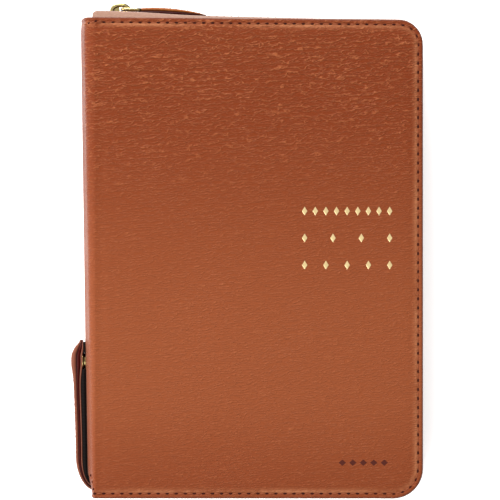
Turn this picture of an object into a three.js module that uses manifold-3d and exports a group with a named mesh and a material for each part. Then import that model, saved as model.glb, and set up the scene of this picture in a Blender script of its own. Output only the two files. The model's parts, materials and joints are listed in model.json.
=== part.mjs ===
// A zip-around bible bound in soft pebbled leather, lying closed on its back cover.
// Millimetres, +Z up. +X points to the fore-edge and +Y to the head of the pages.
// The origin is the centre of the back cover's outer face.
import * as THREE from 'three';
import { mergeVertices } from 'three/addons/utils/BufferGeometryUtils.js';
import Module from 'manifold-3d';

const wasm = await Module();
wasm.setup();

// The closed book.
const halfHeight = 111.5;
const foreEdge = 79;
const bookThickness = 36;
const middle = bookThickness / 2;
const spineAtHead = -79;
const spineAtTail = -75.3;
const creaseX = -73;
const headCornerRadius = 11.2;
const tailCornerRadius = 13.9;
const creaseGap = 0.2;

// The layers of a cover from the outside in, each a gap apart.
const layerGap = 0.2;
const leather = 1.2;
const board = 0.9;
const lining = 0.6;
const endpaper = 0.3;

// The block of thin printed pages.
const pageLeft = -71.6;
const pageRight = 71.5;
const pageHalfHeight = 104;
const pageCornerRadius = 6;
const blockDepth = 4.4;
const gatherings = 12;
const gatheringGap = 0.15;
const ribbonGap = 0.7;
const ribbonsAfter = [5, 8];

// The zip runs along head, fore-edge and tail, half-way through the thickness.
const zipForeEdge = 77.2;
const zipHead = 109.9;
const zipTail = -109.9;
const headTurnRadius = 9.5;
const tailTurnRadius = 12;
const headSlope = 0.02555;
const tailSlope = 0.0111;
const zipStart = -71;
const zipEnd = -70;
const coilStart = -55.5;
const chainGap = 1.4;
const coilWidth = 2.2;
const coilHalfThickness = 1.2;
const tapeHalfThickness = 0.3;
const tapeReach = 7.5;
const gussetInner = 0.5;
const gussetOuter = 1.6;
const gussetNear = 5;
const gussetFar = bookThickness - 3.4 - middle;

// The slider, in its own frame: x along the zip, y out of the book, z across the tape.
const sliderX = -62;
const plateNear = 1.5;
const plateFar = 2.5;
const plateHalfWidth = 4.4;
const pinX = 1;
const pinY = 3.45;
const ringBar = 1;
const ringLength = 9;
const ringHalfWidth = 4;
const pullWidth = 5.6;
const pullLength = 31.5;
const pullLayer = 0.9;
const pullTilt = -0.026;

// The strap that holds the zip's tail, bent round the tail corner and snapped to the spine.
const bendX = -73.5;
const bendY = -99.7;
const bendRadius = 8.7;
const strapEnd = -38;
const strapWidth = 11;
const strapHalfThickness = 1.95;
const strapLayer = 1.2;
const coreHalfThickness = 0.5;
const bendClearance = 1.3;
const snapY = -48;

const paint = (colour, roughness, metalness = 0) => () =>
  new THREE.MeshStandardMaterial({ color: colour, roughness, metalness });
const coverLeather = paint(0x9e5632, 0.55);
const liningLeather = paint(0xb98a63, 0.6);
const cardboard = paint(0x8c8478, 0.9);
const paper = paint(0xefe6cf, 0.85);
const wovenTape = paint(0x7a4a32, 0.9);
const nylonCoil = paint(0x6b3a26, 0.5);
const goldMetal = paint(0xd9b261, 0.25, 1);
const cloth = paint(0xd8cdb8, 0.9);
const redRibbon = paint(0x8c1f26, 0.6);
const goldRibbon = paint(0xc7a24a, 0.6);

const book = new THREE.Group();

function piece(name, geometry, finish) {
  const mesh = new THREE.Mesh(geometry, finish());
  mesh.name = name;
  book.add(mesh);
  return mesh;
}

// A closed solid from a flat outline, standing on z = from and reaching z = to.
function extrude(outline, from, to, curveSegments = 8) {
  const options = { depth: to - from, bevelEnabled: false, curveSegments };
  return new THREE.ExtrudeGeometry(outline, options).translate(0, 0, from);
}

// The same for an outline in the XZ plane, reaching from y = from to y = to.
function extrudeAlongY(outline, from, to) {
  return extrude(outline, 0, to - from).rotateX(Math.PI / 2).translate(0, to, 0);
}

function solidOf(geometry) {
  const bare = geometry.clone();
  bare.deleteAttribute('normal');
  bare.deleteAttribute('uv');
  const merged = mergeVertices(bare, 1e-4);
  const triangles = new Uint32Array(merged.index.array);
  return new wasm.Manifold(new wasm.Mesh({
    numProp: 3,
    vertProperties: new Float32Array(merged.attributes.position.array),
    triVerts: triangles,
  }));
}

function geometryOf(solid) {
  const mesh = solid.getMesh();
  const geometry = new THREE.BufferGeometry();
  geometry.setAttribute('position', new THREE.BufferAttribute(mesh.vertProperties, 3));
  geometry.setIndex(new THREE.BufferAttribute(mesh.triVerts, 1));
  geometry.computeVertexNormals();
  return geometry;
}

const joined = (...geometries) =>
  geometryOf(geometries.map(solidOf).reduce((all, next) => all.add(next)));

const polygon = (points) => new THREE.Shape(points.map(([x, y]) => new THREE.Vector2(x, y)));

const rectangle = (left, right, low, high) =>
  polygon([[left, low], [right, low], [right, high], [left, high]]);

// A panel with square corners at the spine and round ones at the fore-edge.
function panel(left, right, top, headRadius, tailRadius) {
  const shape = new THREE.Shape();
  shape.moveTo(left, -top);
  shape.lineTo(right - tailRadius, -top);
  shape.absarc(right - tailRadius, tailRadius - top, tailRadius, -Math.PI / 2, 0, false);
  shape.lineTo(right, top - headRadius);
  shape.absarc(right - headRadius, top - headRadius, headRadius, 0, Math.PI / 2, false);
  shape.lineTo(left, top);
  shape.closePath();
  return shape;
}

// A cover panel whose edge stands back by inset from the leather's edge.
const coverPanel = (inset) => panel(
  creaseX + creaseGap,
  foreEdge - inset,
  halfHeight - inset,
  headCornerRadius - inset,
  tailCornerRadius - inset,
);

function addCover(side, layer) {
  const layers = [
    ['leather', leather, 0, coverLeather],
    ['board', board, 2.5, cardboard],
    ['lining', lining, 1, liningLeather],
    ['pastedown', endpaper, 6, paper],
  ];
  let depth = 0;
  for (const [part, thickness, inset, finish] of layers) {
    const [from, to] = layer(depth, depth + thickness);
    piece(`${side}_${part}`, extrude(coverPanel(inset), from, to), finish);
    depth += thickness + layerGap;
  }
}

const fromFront = (near, far) => [bookThickness - far, bookThickness - near];
const fromBack = (near, far) => [near, far];

// The spine slants in towards the tail, so its place depends on y.
function spineX(y) {
  const share = (halfHeight - y) / (2 * halfHeight);
  return THREE.MathUtils.lerp(spineAtHead, spineAtTail, share);
}

function spineWall(from, to, low, high) {
  return polygon([
    [spineX(low) + from, low],
    [spineX(low) + to, low],
    [spineX(high) + to, high],
    [spineX(high) + from, high],
  ]);
}

// The spine's leather turns over both shoulders to the crease, and opens at the tail for the zip.
function spineLeather() {
  const notchHalf = strapWidth / 2 + 1;
  const tailTop = bendY - 4.3;
  const shoulder = polygon([
    [spineAtTail, -halfHeight],
    [creaseX - creaseGap, -halfHeight],
    [creaseX - creaseGap, halfHeight],
    [spineAtHead, halfHeight],
  ]);
  return joined(
    extrude(spineWall(0, leather, tailTop, halfHeight), 0, bookThickness),
    extrude(spineWall(0, leather, -halfHeight, tailTop + 0.1), 0, middle - notchHalf),
    extrude(spineWall(0, leather, -halfHeight, tailTop + 0.1), middle + notchHalf, bookThickness),
    extrude(shoulder, 0, leather),
    extrude(shoulder, bookThickness - leather, bookThickness),
  );
}

function addSpine() {
  const linerTop = 103;
  const linerFrom = leather + layerGap;
  piece('spine_leather', spineLeather(), coverLeather);
  const liner = spineWall(linerFrom, linerFrom + 0.6, -linerTop, linerTop);
  piece('spine_stiffener', extrude(liner, 1.6, bookThickness - 1.6), cardboard);
}

function gatheringThickness() {
  const gaps = (gatherings - 1 - ribbonsAfter.length) * gatheringGap + ribbonsAfter.length * ribbonGap;
  return (bookThickness - 2 * blockDepth - gaps) / gatherings;
}

// The gatherings are numbered from the front, as they are read.
function addPages() {
  const pages = panel(pageLeft, pageRight, pageHalfHeight, pageCornerRadius, pageCornerRadius);
  const flyleafDepth = 3.9;
  piece('front_flyleaf', extrude(pages, ...fromFront(flyleafDepth, flyleafDepth + endpaper), 6), paper);
  piece('back_flyleaf', extrude(pages, ...fromBack(flyleafDepth, flyleafDepth + endpaper), 6), paper);
  const thickness = gatheringThickness();
  let top = bookThickness - blockDepth;
  for (let number = 1; number <= gatherings; number += 1) {
    const name = `gathering_${String(number).padStart(2, '0')}`;
    piece(name, extrude(pages, top - thickness, top, 6), paper);
    top -= thickness;
    const holdsRibbon = ribbonsAfter.includes(number);
    if (holdsRibbon) addRibbon(number, top - ribbonGap / 2);
    top -= holdsRibbon ? ribbonGap : gatheringGap;
  }
}

// A marker ribbon lies between two gatherings and hangs down over the tail of the pages.
function addRibbon(after, z) {
  const half = 0.15;
  const head = pageHalfHeight - 1;
  const hang = -pageHalfHeight - 0.7;
  const drop = 9;
  const side = polygon([
    [head, z - half],
    [head, z + half],
    [hang - half, z + half],
    [hang - half, z - drop],
    [hang + half, z - drop],
    [hang + half, z - half],
  ]);
  const first = after === ribbonsAfter[0];
  const left = first ? -62 : -52;
  const width = 6;
  // Turned so that the outline's x runs along Y and its y runs along Z.
  const geometry = extrude(side, 0, width).rotateX(Math.PI / 2).rotateZ(Math.PI / 2);
  geometry.translate(left, 0, 0);
  piece(first ? 'ribbon_marker_red' : 'ribbon_marker_gold', geometry, first ? redRibbon : goldRibbon);
}

// The cloth glued on the spine of the sewn pages, and the bands at its two ends.
function addBackLining() {
  const clothTop = 26.8;
  piece('spine_mull', extrude(rectangle(-72.4, -72, -102, 102), 4.2, clothTop), cloth);
  for (const [name, side] of [['head_band', 1], ['tail_band', -1]]) {
    const outline = new THREE.Shape();
    outline.absarc(0, 0, 0.75, 0, 2 * Math.PI, false);
    const band = extrude(outline, 4.8, bookThickness - 4.8, 5);
    band.translate(pageLeft + 1, side * (pageHalfHeight + 1.05), 0);
    piece(name, band, redRibbon);
  }
}

// One side of the zip's course, offset outwards, from the spine round to the spine again.
function zipCourse(offset, headEnd, tailEnd) {
  const headAngle = Math.PI / 2 - Math.atan(headSlope);
  const tailAngle = -Math.PI / 2 + Math.atan(tailSlope);
  const headCentre = new THREE.Vector2(zipForeEdge - headTurnRadius, zipHead - headTurnRadius);
  const tailCentre = new THREE.Vector2(zipForeEdge - tailTurnRadius, zipTail + tailTurnRadius);
  const onArc = (centre, radius, angle) =>
    new THREE.Vector2(Math.cos(angle), Math.sin(angle)).multiplyScalar(radius + offset).add(centre);
  const steps = 5;
  const headArc = [];
  const tailArc = [];
  for (let step = 0; step <= steps; step += 1) {
    headArc.push(onArc(headCentre, headTurnRadius, headAngle * (1 - step / steps)));
    tailArc.push(onArc(tailCentre, tailTurnRadius, tailAngle * step / steps));
  }
  const alongHead = new THREE.Vector2(headEnd, headArc[0].y + headSlope * (headArc[0].x - headEnd));
  const last = tailArc[steps];
  const alongTail = new THREE.Vector2(tailEnd, last.y + tailSlope * (last.x - tailEnd));
  return [alongHead, ...headArc, ...tailArc, alongTail];
}

function zipRibbon(inner, outer, from, to, headEnd = zipStart, tailEnd = zipEnd) {
  const outside = zipCourse(outer, headEnd, tailEnd);
  const inside = zipCourse(inner, headEnd, tailEnd).reverse();
  return extrude(new THREE.Shape([...outside, ...inside]), from, to);
}

// Above the middle the chain belongs to the front cover, below it to the back cover.
function addChain(side, above) {
  const level = (near, far) => above
    ? [middle + near, middle + far]
    : [middle - far, middle - near];
  const half = chainGap / 2;
  const gusset = zipRibbon(gussetInner, gussetOuter, ...level(gussetNear, gussetFar));
  const tape = zipRibbon(-tapeHalfThickness, tapeHalfThickness, ...level(half + coilWidth + 0.3, tapeReach));
  const coil = zipRibbon(-coilHalfThickness, coilHalfThickness, ...level(half, half + coilWidth), coilStart);
  piece(`${side}_gusset`, gusset, coverLeather);
  piece(`${side}_zip_tape`, tape, wovenTape);
  piece(`${side}_zip_coil`, coil, nylonCoil);
}

const zipCentreY = (x) => zipHead + headSlope * (zipForeEdge - headTurnRadius - x);

// The metal end stop is crimped on the back tape beside the spine.
function addTopStop() {
  const x = -69;
  const y = zipCentreY(x);
  const outline = rectangle(x - 1, x + 1, y - coilHalfThickness, y + coilHalfThickness);
  piece('zip_top_stop', extrude(outline, middle - 3.2, middle - 0.7), goldMetal);
}

function sliderBody() {
  const wall = polygon([
    [-4.4, -2.8],
    [-2.8, -plateHalfWidth],
    [3.8, -3.9],
    [4.4, -3.2],
    [4.4, 3.2],
    [3.8, 3.9],
    [-2.8, plateHalfWidth],
    [-4.4, 2.8],
  ]);
  const flange = (from, to, side) => {
    const edge = [3.35 * side, 4 * side].sort((a, b) => a - b);
    return extrudeAlongY(rectangle(-2.8, 3.8, ...edge), from, to);
  };
  const slot = 0.85;
  const bite = 0.1;
  return joined(
    extrudeAlongY(wall, plateNear, plateFar),
    extrudeAlongY(wall, -plateFar, -plateNear),
    extrudeAlongY(rectangle(-4.2, -1.6, -0.45, 0.45), -plateNear - bite, plateNear + bite),
    flange(slot, plateNear + bite, 1),
    flange(slot, plateNear + bite, -1),
    flange(-plateNear - bite, -slot, 1),
    flange(-plateNear - bite, -slot, -1),
  );
}

// The crown is the small arch that the pull's ring turns in.
function sliderCrown() {
  const foot = plateFar + 0.3;
  const outline = new THREE.Shape();
  outline.moveTo(4.2, foot);
  outline.absellipse(0, foot, 4.2, 2.5, 0, Math.PI, false);
  outline.lineTo(-3.2, foot);
  outline.absellipse(0, foot, 3.2, 1.6, Math.PI, 0, true);
  outline.closePath();
  return extrude(outline, -1.2, 1.2, 10);
}

function pullRing() {
  const inner = ringHalfWidth - ringBar;
  const left = pinX - ringBar / 2;
  const right = left + ringLength;
  const outline = new THREE.Shape();
  const corner = 1.2;
  outline.moveTo(left + corner, -ringHalfWidth);
  outline.absarc(right - corner, corner - ringHalfWidth, corner, -Math.PI / 2, 0, false);
  outline.absarc(right - corner, ringHalfWidth - corner, corner, 0, Math.PI / 2, false);
  outline.absarc(left + corner, ringHalfWidth - corner, corner, Math.PI / 2, Math.PI, false);
  outline.absarc(left + corner, corner - ringHalfWidth, corner, Math.PI, 1.5 * Math.PI, false);
  const hole = [
    [left + ringBar, -inner],
    [left + ringBar, inner],
    [right - ringBar, inner],
    [right - ringBar, -inner],
  ];
  outline.holes.push(new THREE.Path(hole.map(([x, y]) => new THREE.Vector2(x, y))));
  return extrudeAlongY(outline, pinY - ringBar / 2, pinY + ringBar / 2);
}

// One leather strip folded round the ring's far bar, with its two legs sewn together.
function pullLeather() {
  const innerLoop = 1;
  const outerLoop = innerLoop + pullLayer;
  const seam = 0.1;
  const neck = 4;
  const mouth = 0.6;
  const outline = new THREE.Shape();
  outline.moveTo(pullLength, seam + pullLayer);
  outline.lineTo(neck, seam + pullLayer);
  outline.absarc(0, 0, outerLoop, mouth, 2 * Math.PI - mouth, false);
  outline.lineTo(neck, -seam - pullLayer);
  outline.lineTo(pullLength, -seam - pullLayer);
  outline.lineTo(pullLength, -seam);
  outline.lineTo(neck, -seam);
  outline.absarc(0, 0, innerLoop, 2 * Math.PI - mouth, mouth, true);
  outline.lineTo(neck, seam);
  outline.lineTo(pullLength, seam);
  outline.closePath();
  return extrude(outline, -pullWidth / 2, pullWidth / 2);
}

function addSlider() {
  const frame = new THREE.Group();
  frame.position.set(sliderX, zipCentreY(sliderX), middle);
  frame.rotation.z = -Math.atan(headSlope);
  book.add(frame);
  frame.add(piece('slider_body', sliderBody(), goldMetal));
  frame.add(piece('slider_crown', sliderCrown(), goldMetal));
  frame.add(piece('pull_ring', pullRing(), goldMetal));
  const strip = piece('pull_leather', pullLeather(), coverLeather);
  strip.position.set(pinX - ringBar / 2 + ringLength - ringBar / 2, pinY, 0);
  strip.rotation.z = pullTilt;
  frame.add(strip);
}

// A band that follows the strap's bend and then its straight run up the spine.
function strapBand(inner, outer, halfWidth) {
  const startAngle = 1.25 * Math.PI - bendClearance / bendRadius;
  const outline = new THREE.Shape();
  outline.moveTo(bendX - bendRadius - outer, strapEnd);
  outline.absarc(bendX, bendY, bendRadius + outer, Math.PI, startAngle, false);
  outline.absarc(bendX, bendY, bendRadius + inner, startAngle, Math.PI, true);
  outline.lineTo(bendX - bendRadius - inner, strapEnd);
  outline.closePath();
  return extrude(outline, middle - halfWidth, middle + halfWidth, 4);
}

// The tapes' sewn end leaves the tail corner and enters the strap at its bend.
function zipTapeEnd() {
  const half = 0.9;
  const lastAngle = 1.25 * Math.PI + 0.04;
  const outline = new THREE.Shape();
  outline.moveTo(zipEnd - 0.5, bendY - bendRadius - half);
  outline.absarc(bendX, bendY, bendRadius + half, 1.5 * Math.PI, lastAngle, true);
  outline.absarc(bendX, bendY, bendRadius - half, lastAngle, 1.5 * Math.PI, false);
  outline.lineTo(zipEnd - 0.5, bendY - bendRadius + half);
  outline.closePath();
  return extrude(outline, middle - 4.5, middle + 4.5, 5);
}

// A round part of the snap: its profile is (radius, distance out from the spine).
function snapPart(profile, x) {
  const points = profile.map(([radius, out]) => new THREE.Vector2(radius, out));
  return new THREE.LatheGeometry(points, 20).rotateZ(Math.PI / 2).translate(x, snapY, middle);
}

function addStrap() {
  const half = strapHalfThickness;
  const wide = strapWidth / 2;
  piece('strap_outer_leather', strapBand(half - strapLayer, half, wide), coverLeather);
  piece('strap_inner_leather', strapBand(-half, strapLayer - half, wide), coverLeather);
  piece('strap_zip_end', strapBand(-coreHalfThickness, coreHalfThickness, 4.5), wovenTape);
  piece('zip_tape_end', zipTapeEnd(), wovenTape);
  const outerFace = bendX - bendRadius - half;
  const innerFace = bendX - bendRadius + half;
  const cap = [[0, 0.2], [5.8, 0.2], [5.8, 0.45], [4.6, 0.75], [0, 0.95]];
  const socket = [[2.5, -1.9], [4.4, -1.9], [5.2, -1.2], [5.2, -0.3], [2.5, -0.3], [2.5, -1.9]];
  const stud = [[0, 0.3], [4.8, 0.3], [4.8, 0.7], [3.2, 1.2], [1.8, 1.4], [1.8, 3.2], [0, 3.2]];
  piece('snap_cap', snapPart(cap, outerFace), coverLeather);
  piece('snap_socket', snapPart(socket, innerFace), goldMetal);
  piece('snap_stud', snapPart(stud, spineX(snapY) - 0.06), goldMetal);
}

addCover('front', fromFront);
addCover('back', fromBack);
addSpine();
addPages();
addBackLining();
addChain('front', true);
addChain('back', false);
addTopStop();
addSlider();
addStrap();

export default book;
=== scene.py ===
import json
import math
import random

import bmesh
import bpy
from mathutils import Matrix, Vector


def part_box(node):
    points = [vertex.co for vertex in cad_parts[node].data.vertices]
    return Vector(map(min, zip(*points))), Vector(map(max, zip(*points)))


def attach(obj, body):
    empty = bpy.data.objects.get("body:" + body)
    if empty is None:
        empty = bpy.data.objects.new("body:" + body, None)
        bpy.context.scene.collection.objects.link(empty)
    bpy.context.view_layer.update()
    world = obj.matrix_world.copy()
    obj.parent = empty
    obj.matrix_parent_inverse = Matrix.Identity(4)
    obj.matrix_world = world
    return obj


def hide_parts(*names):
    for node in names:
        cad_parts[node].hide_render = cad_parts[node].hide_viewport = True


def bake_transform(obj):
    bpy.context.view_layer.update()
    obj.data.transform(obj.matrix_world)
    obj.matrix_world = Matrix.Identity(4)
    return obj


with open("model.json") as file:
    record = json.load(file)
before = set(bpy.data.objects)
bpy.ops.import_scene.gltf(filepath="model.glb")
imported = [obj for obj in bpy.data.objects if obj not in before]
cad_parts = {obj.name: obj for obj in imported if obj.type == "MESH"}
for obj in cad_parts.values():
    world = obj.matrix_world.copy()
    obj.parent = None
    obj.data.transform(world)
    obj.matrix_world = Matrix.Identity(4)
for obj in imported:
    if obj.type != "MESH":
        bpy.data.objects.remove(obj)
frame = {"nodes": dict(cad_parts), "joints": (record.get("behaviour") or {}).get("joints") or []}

# Shapes are worked out in millimetres and become metres when a piece is made.
MM = 0.001
random.seed(7)
joints = {joint["name"]: joint for joint in frame["joints"]}
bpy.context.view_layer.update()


def low(node):
    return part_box(node)[0] / MM


def high(node):
    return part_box(node)[1] / MM


# The closed book, from the frame.
FORE = high("front_leather").x
TOP = high("front_leather").y
THICK = high("spine_leather").z
MIDDLE = THICK / 2
CREASE = joints["cover_hinge"]["pos_m"][0] / MM
SPINE_HEAD = low("spine_leather").x
SPINE_TAPER = 3.7
SPINE_SWELL = 1.75
TAIL_SWELL = 0.4
SHOULDER = 5.2
HEAD_RADIUS = 11.2
TAIL_RADIUS = 13.9
HIDE = 1.2

# The stitched border of a cover.
ROLL = 0.9
BORDER_DROP = 0.22
STITCH_INSET = 2.3
STITCH_PITCH = 4.2
GROOVE_DEPTH = 0.3

# The zip's course round three sides.
ZIP_AXIS = joints["slider_travel"]["axis"]
HEAD_SLOPE = -ZIP_AXIS[1] / ZIP_AXIS[0]
TAIL_SLOPE = 0.0111
TAPE_HALF = 0.3
ZIP_HEAD_RADIUS = 9.5
ZIP_TAIL_RADIUS = 12
ZIP_FORE = high("front_zip_tape").x - TAPE_HALF
ZIP_START = low("front_zip_tape").x
ZIP_TAIL = low("front_zip_tape").y + TAPE_HALF
ZIP_HEAD = high("front_zip_tape").y - TAPE_HALF - HEAD_SLOPE * (ZIP_FORE - ZIP_HEAD_RADIUS - ZIP_START)
ZIP_END = -70.0
ZIP_SAG = 0.5
COIL_START = low("front_zip_coil").x

# The tail strap and its bend.
STRAP_PIVOT = [value / MM for value in joints["strap_turn"]["pos_m"]]
STRAP_TOP = high("strap_outer_leather").y
STRAP_HALF_WIDTH = (high("strap_outer_leather").z - low("strap_outer_leather").z) / 2
SNAP = (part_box("snap_cap")[0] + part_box("snap_cap")[1]) / 2 / MM
SNAP_RADIUS = (high("snap_socket").y - low("snap_socket").y) / 2


def lerp(a, b, t):
    return a + (b - a) * t


def smooth(t):
    t = min(max(t, 0), 1)
    return t * t * (3 - 2 * t)


# ---------------------------------------------------------------- node trees


class Wiring:
    """Adds nodes to one tree, and links or sets their sockets."""

    def __init__(self, tree):
        self.tree = tree

    def add(self, kind, sockets=None, **settings):
        node = self.tree.nodes.new(kind)
        for name, value in settings.items():
            setattr(node, name, value)
        for key, value in (sockets or {}).items():
            self.put(node, key, value)
        return node

    def put(self, node, key, value):
        if isinstance(value, bpy.types.Node):
            value = value.outputs[0]
        if isinstance(value, bpy.types.NodeSocket):
            self.tree.links.new(value, node.inputs[key])
        else:
            node.inputs[key].default_value = value

    def math(self, operation, a, b=0.0):
        return self.add("ShaderNodeMath", {0: a, 1: b}, operation=operation)

    def vector(self, operation, a, b=(0, 0, 0)):
        return self.add("ShaderNodeVectorMath", {0: a, 1: b}, operation=operation)

    def scaled(self, vector, factor):
        return self.add("ShaderNodeVectorMath", {0: vector, "Scale": factor}, operation="SCALE")

    def mapped(self, value, start, end, new_start=0.0, new_end=1.0):
        sockets = {0: value, 1: start, 2: end, 3: new_start, 4: new_end}
        return self.add("ShaderNodeMapRange", sockets, interpolation_type="SMOOTHSTEP")

    def mixed(self, factor, first, second):
        node = self.add("ShaderNodeMix", {0: factor, 6: first, 7: second}, data_type="RGBA")
        return node.outputs[2]

    def noise(self, vector, scale, detail=2.0):
        return self.add("ShaderNodeTexNoise", {"Vector": vector, "Scale": scale, "Detail": detail})


SOCKETS = {"value": "NodeSocketFloat", "vector": "NodeSocketVector", "colour": "NodeSocketColor"}


def shader_group(name, inputs, outputs, build):
    """A node group: inputs and outputs are {name: kind}, and build wires it."""
    tree = bpy.data.node_groups.new(name, "ShaderNodeTree")
    for label, kind in inputs.items():
        tree.interface.new_socket(name=label, in_out="INPUT", socket_type=SOCKETS[kind])
    for label, kind in outputs.items():
        tree.interface.new_socket(name=label, in_out="OUTPUT", socket_type=SOCKETS[kind])
    wiring = Wiring(tree)
    given = wiring.add("NodeGroupInput").outputs
    wiring.add("NodeGroupOutput", build(wiring, given))
    return tree


def ripples(w, place, spacing, wander, width, offset):
    """Thin wavy crests that run mostly sideways, broken into short lengths."""
    moved = w.vector("ADD", place, offset)
    along, across = 0.45 / spacing, 0.8 / spacing
    bend = w.noise(w.vector("MULTIPLY", moved, (along, across, along)), 1.0, 2.0)
    upward = w.add("ShaderNodeSeparateXYZ", {0: moved}).outputs[1]
    level = w.math("ADD", w.math("MULTIPLY", upward, 1 / spacing), w.math("MULTIPLY", bend, wander))
    away = w.math("ABSOLUTE", w.math("SUBTRACT", w.math("FRACT", level), 0.5))
    gaps = w.noise(w.vector("MULTIPLY", moved, (0.85 / spacing, 1.5 / spacing, 1 / spacing)), 1.0, 2.0)
    return w.math("MULTIPLY", w.mapped(away, 0.0, width, 1.0, 0.0), w.mapped(gaps, 0.35, 0.56))


def build_grain(w, given):
    """The hide's grain: long and short creases that lean a little, pebbles between them, and pores."""
    place = w.scaled(given["Place"], 1 / MM)
    slant = w.scaled((0, -0.06, 0), w.add("ShaderNodeSeparateXYZ", {0: place}).outputs[0])
    leaning = w.vector("ADD", place, slant)
    long_crests = ripples(w, leaning, 2.9, 2.5, 0.155, (0, 0, 0))
    short_crests = ripples(w, leaning, 2.1, 2.3, 0.18, (31.4, 17.2, 5.0))
    crests = w.math("MAXIMUM", long_crests, w.math("MULTIPLY", short_crests, 0.8))
    pebbles = ripples(w, leaning, 1.15, 2.4, 0.3, (3.3, 47.1, 11.0))
    pores = w.noise(w.vector("MULTIPLY", place, (1.0, 1.6, 1.6)), 0.9, 3.0)
    large = w.math("MULTIPLY", crests, given["Crease"])
    small = w.math("MULTIPLY", pebbles, given["Pebble"])
    fine = w.math("MULTIPLY", pores, 0.4)
    return {"Height": w.math("ADD", w.math("ADD", large, small), fine)}


def build_mottle(w, given):
    """Soft patches, broad and close, where the dye took better."""
    place = w.scaled(given["Place"], 1 / MM)
    broad = w.math("MULTIPLY", w.noise(place, 0.03, 3.0), 0.65)
    close = w.math("MULTIPLY", w.noise(place, 0.4, 4.0), 0.35)
    return {"Mask": w.mapped(w.math("ADD", broad, close), 0.3, 0.7)}


def build_weave(w, given):
    """Threads that cross over and under, with a little fuzz."""
    threads = w.scaled(given["Place"], given["Threads"])
    parts = w.add("ShaderNodeSeparateXYZ", {0: threads})
    across = w.math("SINE", parts.outputs[0])
    along = w.math("SINE", parts.outputs[1])
    turns = w.math("MULTIPLY", across, along)
    fuzz = w.noise(threads, 0.8, 2.0)
    height = w.math("ADD", turns, w.math("MULTIPLY", fuzz, 0.6))
    return {"Height": height, "Shade": w.mapped(height, -0.8, 1.4)}


GRAIN_INPUTS = {"Place": "vector", "Crease": "value", "Pebble": "value"}
WEAVE_INPUTS = {"Place": "vector", "Threads": "value"}
WEAVE_OUTPUTS = {"Height": "value", "Shade": "value"}
GRAIN = shader_group("pebbled_grain", GRAIN_INPUTS, {"Height": "value"}, build_grain)
MOTTLE = shader_group("mottle", {"Place": "vector"}, {"Mask": "value"}, build_mottle)
WEAVE = shader_group("plain_weave", WEAVE_INPUTS, WEAVE_OUTPUTS, build_weave)


def group_node(w, tree, sockets):
    node = w.tree.nodes.new("ShaderNodeGroup")
    node.node_tree = tree
    for key, value in sockets.items():
        w.put(node, key, value)
    return node


def new_material(name):
    material = bpy.data.materials.new(name)
    material.use_nodes = True
    material.node_tree.nodes.clear()
    w = Wiring(material.node_tree)
    shader = w.add("ShaderNodeBsdfPrincipled")
    w.add("ShaderNodeOutputMaterial", {"Surface": shader})
    return material, w, shader


def bump(w, shader, height, strength, distance):
    node = w.add("ShaderNodeBump", {"Height": height, "Strength": strength, "Distance": distance * MM})
    w.put(shader, "Normal", node)


def object_place(w):
    return w.add("ShaderNodeTexCoord").outputs["Object"]


def hide_place(w):
    return w.add("ShaderNodeUVMap", uv_map="hide").outputs["UV"]


def linear_light(level):
    return ((level / 255 + 0.055) / 1.055) ** 2.4 if level > 10 else level / 3300


def colour(red, green, blue):
    """A colour given as it looks on screen, from 0 to 255, as linear light."""
    return (linear_light(red), linear_light(green), linear_light(blue), 1.0)


EDGE_PAINT = colour(84, 46, 34)
# A pale tan for the band beside the stitches: partly rubbed leather, partly painted highlight.
RUBBED_AND_LIT = colour(160, 104, 70)


def leather(name, ground, crest_highlight, crease, pebble, roughness, relief, place=hide_place, painted_shade_ground=None):
    """Soft leather. Crests are paler than the ground as a painted highlight, and the edge and rub attributes
    paint it, wear it and light it.

    Crease and pebble are the grain's strengths, and relief is its depth in millimetres.
    """
    material, w, shader = new_material(name)
    where = place(w)
    strength = crease
    if painted_shade_ground:
        # The deep creases of the hide are at the head of the book and die away towards its tail.
        along = w.add("ShaderNodeSeparateXYZ", {0: where}).outputs[1]
        strength = w.mapped(along, 5 * MM, 110 * MM, 0.28 * crease, crease)
        # Painted shade: the ground is darker towards the head, and again towards the tail, standing in for
        # light that falls off there.
        ground = w.mixed(w.mapped(along, -45 * MM, 85 * MM), ground, painted_shade_ground)
        ground = w.mixed(w.mapped(along, -60 * MM, -116 * MM, 0.0, 0.65), ground, painted_shade_ground)
    grain = group_node(w, GRAIN, {"Place": where, "Crease": strength, "Pebble": pebble})
    patches = group_node(w, MOTTLE, {"Place": where})
    # The crests take the paler colour: a painted highlight on the grain.
    lit = w.mapped(grain.outputs["Height"], 0.15, 0.4 + 0.8 * (crease + pebble))
    tone = w.mixed(lit, ground, crest_highlight)
    toned = w.mixed(w.math("MULTIPLY", patches, 0.3), tone, ground)
    # Beside the stitches the leather is lightened, partly as rubbed dye and partly as a painted highlight on
    # the padded rise.
    rub_and_highlight = w.math("MULTIPLY", w.add("ShaderNodeAttribute", attribute_name="rub_and_highlight").outputs["Fac"], patches)
    worn_and_lit = w.mixed(rub_and_highlight, toned, RUBBED_AND_LIT)
    painted = w.mixed(w.add("ShaderNodeAttribute", attribute_name="edge").outputs["Fac"], worn_and_lit, EDGE_PAINT)
    w.put(shader, "Base Color", painted)
    w.put(shader, "Roughness", w.mapped(patches, 0.0, 1.0, roughness - 0.05, roughness + 0.06))
    shader.inputs["Specular IOR Level"].default_value = 0.09
    shader.inputs["Sheen Weight"].default_value = 0.07
    shader.inputs["Sheen Roughness"].default_value = 0.3
    bump(w, shader, grain.outputs["Height"], 1.0, relief)
    return material


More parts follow.
